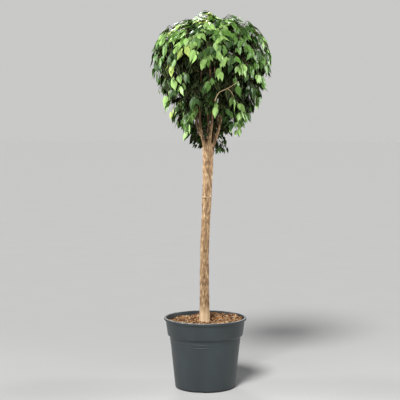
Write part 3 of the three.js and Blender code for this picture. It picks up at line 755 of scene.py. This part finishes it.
def limb_points(boughs):
    """Points along the trunk and the boughs, each with the limb's radius there."""
    rows = [(*p, trunk_radius(i / 60)) for i, p in enumerate(trunk_path(60))]
    for tier, bough in boughs:
        rows += [(*p, bough_radius(tier, i / BOUGH_STEPS)) for i, p in enumerate(bough)]
    return np.array(rows)


def bark_relief(x, y, z):
    """How far the bark stands out at a point: upright ridges, small pores, a swell and a few ring scars."""
    relief = 0
    for width, length, shift, size in BARK_LAYERS:
        relief += noise.noise(Vector((x / width, y / width, z / length + shift))) * size
    wander = SCAR_WANDER * noise.noise(Vector((x / 16, y / 16, 5)))
    scars = sum(size * math.exp(-(((z - height - wander) / SCAR_WIDTH) ** 2)) for height, size in RING_SCARS)
    return (relief + scars) * (BOUGH_RELIEF if z > BOUGH_RELIEF_FROM else 1)


def make_bark(boughs, material):
    """The trunk and its boughs grown into one, with the relief of the bark."""
    limbs = Builder()
    path = trunk_path(TRUNK_STEPS)
    crest = [path[-1] + UP * rise for rise, _ in TRUNK_CREST]
    radii = [trunk_radius(i / TRUNK_STEPS) for i in range(TRUNK_STEPS + 1)]
    radii += [radius for _, radius in TRUNK_CREST]
    limbs.tube(np.concatenate([path, crest]), radii, TRUNK_SIDES)
    for tier, bough in boughs:
        limbs.tube(bough, [bough_radius(tier, i / BOUGH_STEPS) for i in range(BOUGH_STEPS + 1)], BOUGH_SIDES)
    bark = limbs.object("bark", [material])
    fuse = bark.modifiers.new("fuse", "REMESH")
    fuse.mode = "VOXEL"
    fuse.voxel_size = BARK_VOXEL * MM
    fuse.use_smooth_shade = True
    soften = bark.modifiers.new("soften", "SMOOTH")
    soften.factor = 0.5
    soften.iterations = 6
    mesh = settled(bark).data
    points = read_all(mesh.vertices, "co", float, 3).reshape(-1, 3) / MM
    normals = read_all(mesh.vertex_normals, "vector", float, 3).reshape(-1, 3)
    lift = np.array([bark_relief(*point) for point in points])
    mesh.vertices.foreach_set("co", ((points + normals * lift[:, None]) * MM).ravel())
    mesh.polygons.foreach_set("use_smooth", [True] * len(mesh.polygons))
    mesh.update()
    dress(bark, "bark", "trunk", *["bough_" + place for place, _, _ in MASSES])


# The crown: its reach, and where its forks and sprays go.


def round_reach(way, form):
    """How far a round form reaches from its centre in a direction."""
    height = form["rise"] if way[2] > 0 else form["fall"]
    power = form["shoulder"] if way[2] > 0 else form["taper"]
    flat = math.hypot(way[0], way[1]) / form["radius"]
    return (flat**power + (abs(way[2]) / height) ** power) ** (-1 / power)


def crown_point(way, share):
    """A point at a share of the crown's reach in a direction."""
    hollow = HOLLOW * smoothstep(-way[2], HOLLOW_FROM, 1)
    return CROWN_CENTRE + way * share * round_reach(way, CROWN) * (1 - hollow)


def outline_share(point):
    """How far out a point lies, as a share of the leaves' outline that way."""
    offset = point - OUTLINE_CENTRE
    return np.linalg.norm(offset) / round_reach(unit(offset), OUTLINE)


def skirt_height(point):
    """The lowest that a leaf may hang at a place round the crown."""
    level = SKIRT["front"] if point[1] < 0 else SKIRT["back"]
    aside = abs(point[0] - TRUNK_DRIFT[-1][0])
    return lerp(level, SKIRT["side"], smoothstep(aside, SKIRT["open_to"], SKIRT["closed_from"]))


def crown_sprays():
    """The way and the share of the crown's reach of each spray, and of the shoot at the very top."""
    sprays = [(direction_of(CREST["azimuth"], CREST["elevation"]), CREST["reach"])]
    for i in range(SPRAYS):
        height = lerp(1, -LOWEST, (i + 0.5) / SPRAYS)
        flat = math.sqrt(1 - height * height)
        angle = i * GOLDEN_ANGLE
        way = np.array([flat * math.cos(angle), flat * math.sin(angle), height])
        sprays.append((way, lerp(*REACH, i * REACH_TURN % 1)))
    return sprays


def inset_way(way, azimuth, tier):
    """A way drawn a little towards the middle of its mass."""
    if tier == "leader":
        return unit(lerp(way, UP, INSET))
    flat = math.hypot(way[0], way[1])
    turned = lerp(unit(np.array([way[0], way[1], 0])), direction_of(azimuth, 0), INSET)
    turned = unit(turned) * flat
    return np.array([turned[0], turned[1], way[2]])


def fork_groups():
    """For each mass, its sprays from the top down in groups that share a fork."""
    middles = [direction_of(turn, 90 if tier == "leader" else SIDE_ELEVATION) for _, turn, tier in MASSES]
    owned = [[] for _ in MASSES]
    for way, reach in crown_sprays():
        nearest = max(range(len(MASSES)), key=lambda mass: middles[mass].dot(way))
        owned[nearest].append((inset_way(way, *MASSES[nearest][1:]), reach))
    for own in owned:
        own.sort(key=lambda spray: -spray[0][2])
    return [[own[i : i + GROUP_SIZE] for i in range(0, len(own), GROUP_SIZE)] for own in owned]


def hanging_way(outward):
    """Which way a leaf hangs at a point: straight down at the sides, and down over the dome near the top."""
    top = max(0, outward[2]) ** 2
    flat = unit(np.array([outward[0], outward[1], 0])) * lerp(*HANG_OUT, top)
    return flat - UP * lerp(*HANG_DOWN, top)


# Leaves.


def leaf_template(curl, fold, wave):
    """One leaf along +Y from the foot of its stalk, facing +Z, with its length as 1.

    Its blade is oval with a drawn-out tip. It folds down from its midrib and bends back along its length. A
    face is of kind 0 on the blade, 1 on the underside and 2 on the midrib and the stalk.
    """
    points, faces, kinds, places = [], [], [], []
    for v, w in zip(STATIONS, WIDTHS):
        rib = min(MIDRIB, 0.5 * w)
        for u in (-w, -HALF_BLADE * w, -rib, rib, HALF_BLADE * w, w):
            drop = -fold * abs(u) + 0.35 * fold * u * u / max(w, 1e-3)
            ripple = wave * math.sin(9 * v + (2 if u > 0 else 0)) * (abs(u) / 0.3) ** 2
            points.append((u, v, drop - curl * v * v + ripple))
            places.append((u, v))
    rows = len(STATIONS)
    below = len(points)
    points += [(0, v, -curl * v * v - LEAF_THICKNESS / LEAF_LENGTH) for v in STATIONS]
    places += [(0, v) for v in STATIONS]
    for r in range(rows - 1):
        a, b = 6 * r, 6 * (r + 1)
        faces += [(a + c, a + c + 1, b + c + 1, b + c) for c in range(5)]
        kinds += [0, 0, 2, 0, 0]
    for r in range(rows - 1):
        a, b, c, d = 6 * r, 6 * (r + 1), below + r, below + r + 1
        faces += [(a, b, d, c), (c, d, b + 5, a + 5)]
    faces += [(below, *range(5, -1, -1)), (*range(6 * rows - 6, 6 * rows), below + rows - 1)]
    kinds += [1] * 2 * rows
    foot = len(points)
    for v, z, r in STALK_RINGS:
        points += [(r * math.cos(t), v, z + r * math.sin(t)) for t in (0.5, 2.6, 4.7)]
        places += [(0, 0)] * 3
    for ring in (foot, foot + 3):
        for i in range(3):
            j = (i + 1) % 3
            faces.append((ring + i, ring + 3 + i, ring + 3 + j, ring + j))
    faces += [(foot, foot + 1, foot + 2), (foot + 8, foot + 7, foot + 6)]
    kinds += [2] * 8
    return np.array(points) + [0, STALK, STALK_LIFT], faces, kinds, np.array(places)


TEMPLATES = [leaf_template(*shape) for shape in LEAF_SHAPES]


class Leaves:
    """Leaves gathered by colour. Each is a root, the way it hangs, the way it faces and a size."""

    def __init__(self, limb_points):
        self.kept = {}
        self.limbs = limb_points

    def clear(self, root, tip):
        """Whether a leaf hangs clear of the limbs."""
        for point in ((root + tip) / 2, tip):
            gaps = np.linalg.norm(self.limbs[:, :3] - point, axis=1) - self.limbs[:, 3]
            if gaps.min() < CLEAR_OF_LIMB:
                return False
        return True

    def inside(self, root, tip, reach):
        """Whether a leaf keeps to the crown's outline, its skirt and its openings."""
        middle = (root + tip) / 2
        if outline_share(middle) > reach or outline_share(tip) > reach:
            return False
        if tip[2] < skirt_height(tip):
            return False
        if middle[1] < 0 and math.hypot(middle[0] - CLEARING[0], middle[2] - CLEARING[1]) < CLEARING_RADIUS:
            return reach < 1
        off_axis = math.hypot(middle[0] - CROWN_CENTRE[0], middle[1] - CROWN_CENTRE[1])
        return middle[2] > OPEN_UP_TO or off_axis > OPEN_MIDDLE or middle[1] > BEHIND_BOUGHS

    def add(self, color, root, outward, turn, lift, size, tilt, free=False):
        """A leaf, if it hangs clear of the limbs and, unless it is free, inside the crown."""
        hang = hanging_way(outward)
        side = unit(np.cross(hang, outward))
        way = unit(hang + side * turn + outward * lift)
        facing = unit(outward + UP * FACE_UP + side * tilt[0] + UP * tilt[1])
        across = unit(np.cross(way, facing))
        normal = np.cross(across, way)
        reach = INNER_REACH if color == "dark" else 1
        tip = root + way * size * (LEAF_LENGTH + PETIOLE)
        if not self.clear(root, tip) or not (free or self.inside(root, tip, reach)):
            return
        template = int(random.integers(len(TEMPLATES)))
        self.kept.setdefault(color, []).append((template, root, across, way, normal, size * LEAF_LENGTH))

    def along(self, color, twig, outward, shares, free=False):
        """Leaves at shares of the way along a twig, from side to side in turn."""
        top = max(0, outward[2]) ** 2
        for n, share in enumerate(shares):
            root = np.array([along(axis, share) for axis in twig.T])
            turn = (1 if n % 2 else -1) * chance(*LEAF_TURN)
            lift = chance(*LEAF_LIFT) + TOP_LIFT * top
            size = chance(*LEAF_SIZES) * lerp(1, TOP_SIZE, top)
            size *= INNER_SIZE if color == "dark" else 1
            self.add(color, root, outward, turn, lift, size, random.normal(0, LEAF_TILT, 2), free)

    def builder(self, color):
        """All the leaves of a colour as one joined mesh."""
        made = Builder()
        places = []
        for index, (shape, faces, kinds, spots) in enumerate(TEMPLATES):
            own = [leaf[1:] for leaf in self.kept[color] if leaf[0] == index]
            roots, across, ways, normals, sizes = (np.array(part) for part in zip(*own))
            spread = shape[None] * sizes[:, None, None]
            points = roots[:, None] + spread[..., :1] * across[:, None]
            points = points + spread[..., 1:2] * ways[:, None] + spread[..., 2:] * normals[:, None]
            for leaf in points:
                made.add(leaf, faces, kinds)
            places.append(np.tile(spots, (len(own), 1)))
        return made, np.concatenate(places)


def deal_color(outward, inner):
    """A side twig's leaf colour by place: brighter at the top and upper left as painted light, mostly near
    black inside as painted shade.
    """
    # Inner twigs: near-black leaves, painted shade inside the crown.
    if inner:
        return "deep" if random.random() < 0.1 else "dark"
    # Outer twigs: more bright and yellow-green leaves at the top and upper left, as painted light.
    sun = max(0, outward[2])
    left = max(0, -outward[0]) * max(0, outward[2] + 0.3)
    weights = np.array([own + top_painted_light * sun + left_painted_light * left for own, top_painted_light, left_painted_light in LEAF_MIX.values()])
    return list(LEAF_MIX)[random.choice(len(weights), p=weights / weights.sum())]


# Twigs.


def grow_wood(wood, path, kind):
    root, tip, sides = WOOD[kind]
    wood.tube(path, np.linspace(root, tip, len(path)), sides)


def sagging_twig(start, way, length, sag, steps):
    """A twig that sets off one way and sags under its own weight."""
    shares = np.linspace(0, 1, steps + 1)
    return np.array([start + way * length * s - UP * length * sag * s * s for s in shares])


def has_room(point):
    """Whether a leaf can still hang below a point of a twig."""
    below = point - UP * ROOM_BELOW
    return below[2] > skirt_height(point) and outline_share(below) < 1 and outline_share(point) < 1


def grow_spray(fork, way, reach, wood, leaves):
    """A spray from its fork to its tip and over, its side twigs and all their leaves."""
    top = max(0, way[2])
    tip = crown_point(way, reach) - UP * DROOP * (1 - top)
    outward = unit(tip - CROWN_CENTRE)
    hang = unit(hanging_way(outward))
    middle = lerp(fork, tip, 0.55) + UP * lerp(*SPRAY_ARCH, top)
    path = smooth_path([fork, middle, tip, tip + hang * lerp(*SPRAY_HANG, top)], SPRAY_STEPS)
    while len(path) > 5 and not has_room(path[-1]):
        path = path[:-1]
    path = smooth_path(path, SPRAY_STEPS)
    grow_wood(wood, path, "spray")
    side = unit(np.cross(hang, outward))
    for k, place in enumerate(INNER_TWIGS + OUTER_TWIGS):
        inner = k < len(INNER_TWIGS)
        aside = chance(*TWIG_ASIDE) * (1 if k % 2 else -1)
        out = chance(*TWIG_OUT) * (1 - 0.8 * place)
        lead = unit(outward * out + side * aside + hang * chance(*TWIG_DOWN))
        length = lerp(*TWIG_LENGTH, place) * chance(*TWIG_LONGER)
        twig = sagging_twig(path[int(round(place * SPRAY_STEPS))], lead, length, TWIG_SAG, TWIG_STEPS)
        if not has_room(twig[-1]) or (inner and outline_share(twig[-1]) > INNER_REACH):
            continue
        if not inner and random.random() < TOP_GAPS * lerp(SIDE_GAPS, 1, top):
            continue
        grow_wood(wood, twig, "twiglet")
        shares = np.linspace(0.22, 1, INNER_LEAVES if inner else OUTER_LEAVES)
        leaves.along(deal_color(outward, inner), twig, outward, shares)
    leaves.along(deal_color(outward, False), path, outward, np.linspace(0.6, 1, SPRAY_LEAVES))


def grow_mass(azimuth, tier, bough, groups, wood, leaves):
    """A stem on from its bough into the heart of the mass, and a branch to each fork."""
    heart_way = UP if tier == "leader" else direction_of(azimuth, HEART_ELEVATION)
    heart = crown_point(heart_way, HEART_SHARE)
    lead = unit(bough[-1] - bough[-3])
    grow_wood(wood, smooth_path([bough[-1] - lead * 4, bough[-1] + lead * 8, heart], 8), "stem")
    for group in groups:
        fork = crown_point(unit(sum(way for way, _ in group)), FORK_SHARE)
        bend = lerp(heart, fork, 0.5) + random.normal(0, 5, 3)
        grow_wood(wood, smooth_path([heart, bend, fork], 6), "branch")
        for way, reach in group:
            grow_spray(fork, way, reach, wood, leaves)


def grow_shoots(boughs, wood, leaves):
    """The thin shoots on the boughs. Only those round the fork may hang lower than the skirt."""
    for kind, count, roots, azimuths, lengths, color in SHOOTS:
        form = SHOOT_FORMS[kind]
        free = kind == "fork_twig"
        for n in range(count):
            root = boughs[n % len(boughs)][1][int(chance(*roots) * BOUGH_STEPS)]
            away = direction_of(chance(*azimuths), chance(*form["rise"]))
            twig = sagging_twig(root, away, chance(*lengths), form["sag"], SHOOT_STEPS)
            if not free and twig[-1][2] - LEAF_LENGTH < skirt_height(twig[-1]):
                continue
            grow_wood(wood, twig, kind)
            for k, step in enumerate(form["steps"]):
                dealt = "deep" if (n + k * free) % 2 == 0 else color
                size = chance(*form["size"])
                turn = form["turn"] * (-1) ** k
                leaves.add(dealt, twig[step], away, turn, form["lift"], size, SHOOT_TILT, free)


def grow_droops(wood, leaves):
    """The shoots that hang lowest at the sides of the fork, with leaves all along."""
    for (azimuth, elevation, share), tip in DROOPS:
        root = crown_point(direction_of(azimuth, elevation), share)
        bend = lerp(root, np.array(tip, float), 0.45) + direction_of(azimuth, 0) * 12
        path = smooth_path([root, bend, tip], SPRAY_STEPS)
        grow_wood(wood, path, "spray")
        outward = unit(direction_of(azimuth, 0) + direction_of(270, 0))
        for color, first, last, count in DROOP_LEAVES:
            leaves.along(color, path, outward, np.linspace(first, last, count), free=True)


def grow_fork_spray(wood, leaves):
    """The small leafy twig low on the right of the fork."""
    share = (FORK_SPRAY["root"] - MIX_LEVEL + TRUNK_BURIED) / TRUNK_LENGTH
    root = trunk_path(100)[int(share * 100)] + [trunk_radius(share) - FORK_SPRAY["sunk"], 0, 0]
    tip = np.array(FORK_SPRAY["tip"], float)
    path = smooth_path([root, lerp(root, tip, 0.5) + FORK_SPRAY["bend"], tip], FORK_LEAVES + 1)
    grow_wood(wood, path, "fork_spray")
    for n in range(FORK_LEAVES):
        away = unit(direction_of(math.degrees(n * GOLDEN_ANGLE), 10) + [0.6, 0, 0])
        size = chance(*FORK_LEAF_SIZES)
        leaves.add("deep", path[2 + n], away, 0.3 * (-1) ** n, 0.2, size, SHOOT_TILT, free=True)


def read_all(items, field, kind=int, width=1):
    """One field of all the items of a mesh, as a flat array."""
    values = np.empty(len(items) * width, kind)
    items.foreach_get(field, values)
    return values


def sharpen_rims(mesh):
    """Keeps the rim of each leaf crisp: the edges where its upper face meets its under face."""
    edges = read_all(mesh.loops, "edge_index")
    is_under = read_all(mesh.polygons, "material_index") == 1
    owner = np.repeat(is_under, read_all(mesh.polygons, "loop_total"))
    under = np.bincount(edges, weights=owner, minlength=len(mesh.edges))
    uses = np.bincount(edges, minlength=len(mesh.edges))
    layer = mesh.attributes.new("sharp_edge", "BOOLEAN", "EDGE")
    layer.data.foreach_set("value", (under > 0) & (under < uses))


def map_blades(mesh, places):
    """Gives each point of a leaf its place across and along the blade."""
    layer = mesh.uv_layers.new(name="blade")
    layer.data.foreach_set("uv", places[read_all(mesh.loops, "vertex_index")].ravel())


# The leaves' colours, each with a roughness and a shine. Dark is near black: painted shade inside the crown.
LEAF_COLORS = {
    "bright": (srgb(134, 172, 90), 0.4, 0.4),
    "young_painted_light": (srgb(150, 172, 80), 0.4, 0.38),
    "mid": (srgb(76, 118, 42), 0.38, 0.36),
    "deep": (srgb(32, 68, 18), 0.42, 0.28),
    "dark": (srgb(5, 14, 3), 0.8, 0.04),
}
PALE_GREEN = srgb(176, 196, 124)


def paler(tint, share):
    """A leaf's colour drawn towards the pale green of its underside and ribs."""
    return tuple(lerp(own, pale, share) for own, pale in zip(tint, PALE_GREEN))


def make_leaves(color, leaves, nodes):
    """One piece with all the leaves of a colour."""
    tint, roughness, shine = LEAF_COLORS[color]
    blade = leaf_material("leaf_" + color, tint, roughness, shine)
    under = leaf_material("leaf_underside_" + color, paler(tint, 0.1), 0.6, shine / 2)
    rib = leaf_material("leaf_midrib_" + color, paler(tint, 0.2), 0.5, shine)
    made, places = leaves.builder(color)
    piece = made.object("leaves_" + color, [blade, under, rib])
    map_blades(piece.data, places)
    sharpen_rims(piece.data)
    dress(piece, "foliage", *nodes)


def make_crown(boughs):
    wood, pale_wood = Builder(), Builder()
    leaves = Leaves(limb_points(boughs))
    for (_, azimuth, tier), (_, bough), groups in zip(MASSES, boughs, fork_groups()):
        grow_mass(azimuth, tier, bough, groups, wood, leaves)
    grow_shoots(boughs, wood, leaves)
    grow_droops(wood, leaves)
    grow_fork_spray(wood, leaves)
    grow_wood(pale_wood, smooth_path(BARE_TWIG, 12), "bare_twig")
    grow_wood(pale_wood, smooth_path(BARE_SIDE_TWIG, 6), "bare_side_twig")
    brown = wood_material("twig_bark", srgb(74, 56, 34), srgb(42, 32, 20), 0.75)
    pale = wood_material("pale_twig_bark", srgb(205, 180, 140), srgb(160, 132, 92), 0.7)
    dress(wood.object("twigs", [brown]), "bark")
    dress(pale_wood.object("bare_twig", [pale]), "bark")
    nodes = ["foliage_" + place for place, _, _ in MASSES] + ["foliage_fork"]
    for color in LEAF_COLORS:
        make_leaves(color, leaves, nodes)


# The stage. The floor is in millimetres, and the lamps and the camera are in metres and degrees.
FLOOR = [(0, -0.2), (20000, -0.2), (400000, -0.2)]
SUN = {"azimuth": -108, "elevation": 44, "strength": 3.1, "angle": 18}
CAMERA = {"lens": 93.15, "sensor": 36, "place": (-0.0217, -4.2435, 1.023), "down": 3.37, "far": 1000}

# A lamp is its name, its place, the height that it is aimed at on the axis, its power and its spread.
LAMPS = [
    ("left", (-2.8, 0.1, 1.7), 1.3, 10, 40),
    ("right", (2.8, 0.2, 1.8), 1.3, 8, 40),
    ("behind", (-0.5, 2.4, 3.4), 1.4, 4, 30),
]

# The dome: a light band low down is the backdrop, and above it the dome is dim.
DOME_STRENGTH = 0.17
DOME = [
    (0, (3.42, 3.42, 3.36, 1)),
    (0.16, (3.42, 3.42, 3.38, 1)),
    (0.3, (0.63, 0.64, 0.64, 1)),
    (0.6, (0.55, 0.57, 0.6, 1)),
]


def make_floor():
    floor = Builder()
    floor.add(*lathe(FLOOR, 64))
    floor.object("floor", [floor_material()])


def add_light(light, way):
    """A light that shines one way."""
    made = add_object(light.name, light)
    made.rotation_mode = "QUATERNION"
    made.rotation_quaternion = Vector(way).to_track_quat("-Z", "Y")
    return made


def make_dome():
    world = bpy.data.worlds.new("soft_studio")
    world.use_nodes = True
    background = world.node_tree.nodes["Background"]
    background.inputs["Strength"].default_value = DOME_STRENGTH
    way = add_node(world, "TexCoord", {}).outputs["Generated"]
    height = add_node(world, "SeparateXYZ", {"Vector": way}).outputs["Z"]
    world.node_tree.links.new(add_ramp(world, height, DOME), background.inputs["Color"])
    bpy.context.scene.world = world


def make_lights():
    """The dome, a soft sun from the front left, and a lamp at each side and behind."""
    make_dome()
    sun = bpy.data.lights.new("sun", "SUN")
    sun.energy = SUN["strength"]
    sun.angle = math.radians(SUN["angle"])
    add_light(sun, -direction_of(SUN["azimuth"], SUN["elevation"]))
    for name, place, aim, power, spread in LAMPS:
        lamp = bpy.data.lights.new(name, "AREA")
        lamp.shape = "SQUARE"
        lamp.size = 1
        lamp.energy = power
        lamp.spread = math.radians(spread)
        add_light(lamp, Vector((0, 0, aim)) - Vector(place)).location = place


def make_camera():
    camera = add_object("camera", bpy.data.cameras.new("camera"))
    camera.data.lens = CAMERA["lens"]
    camera.data.sensor_width = CAMERA["sensor"]
    camera.data.clip_end = CAMERA["far"]
    camera.location = CAMERA["place"]
    camera.rotation_euler = (math.radians(90 - CAMERA["down"]), 0, 0)
    bpy.context.scene.camera = camera


# The chips' colours, each with its darker shade and its share of the chips.
CHIP_COLORS = [
    ("chips_orange", srgb(174, 116, 66), srgb(136, 84, 46), 0.26),
    ("chips_brown", srgb(120, 80, 46), srgb(84, 54, 32), 0.22),
    ("chips_dark", srgb(46, 34, 24), srgb(28, 22, 17), 0.2),
    ("chips_tan", srgb(196, 156, 106), srgb(160, 120, 78), 0.19),
    ("chips_cream", srgb(226, 204, 166), srgb(198, 170, 130), 0.13),
]


def main():
    bpy.context.scene.view_settings.view_transform = "Standard"
    make_camera()
    make_lights()
    make_floor()
    make_pot(pot_material(), lip_highlight_material())
    make_mix(wood_material("fine_mix", srgb(58, 40, 28), srgb(34, 25, 19), 0.95))
    chips = [(wood_material(name, color, darker, 0.9), share) for name, color, darker, share in CHIP_COLORS]
    make_chips(chips)
    numbers = source_random(SWAY_SEED)
    boughs = [(tier, bough_path(azimuth, tier, numbers)) for _, azimuth, tier in MASSES]
    make_bark(boughs, bark_material())
    make_crown(boughs)


main()
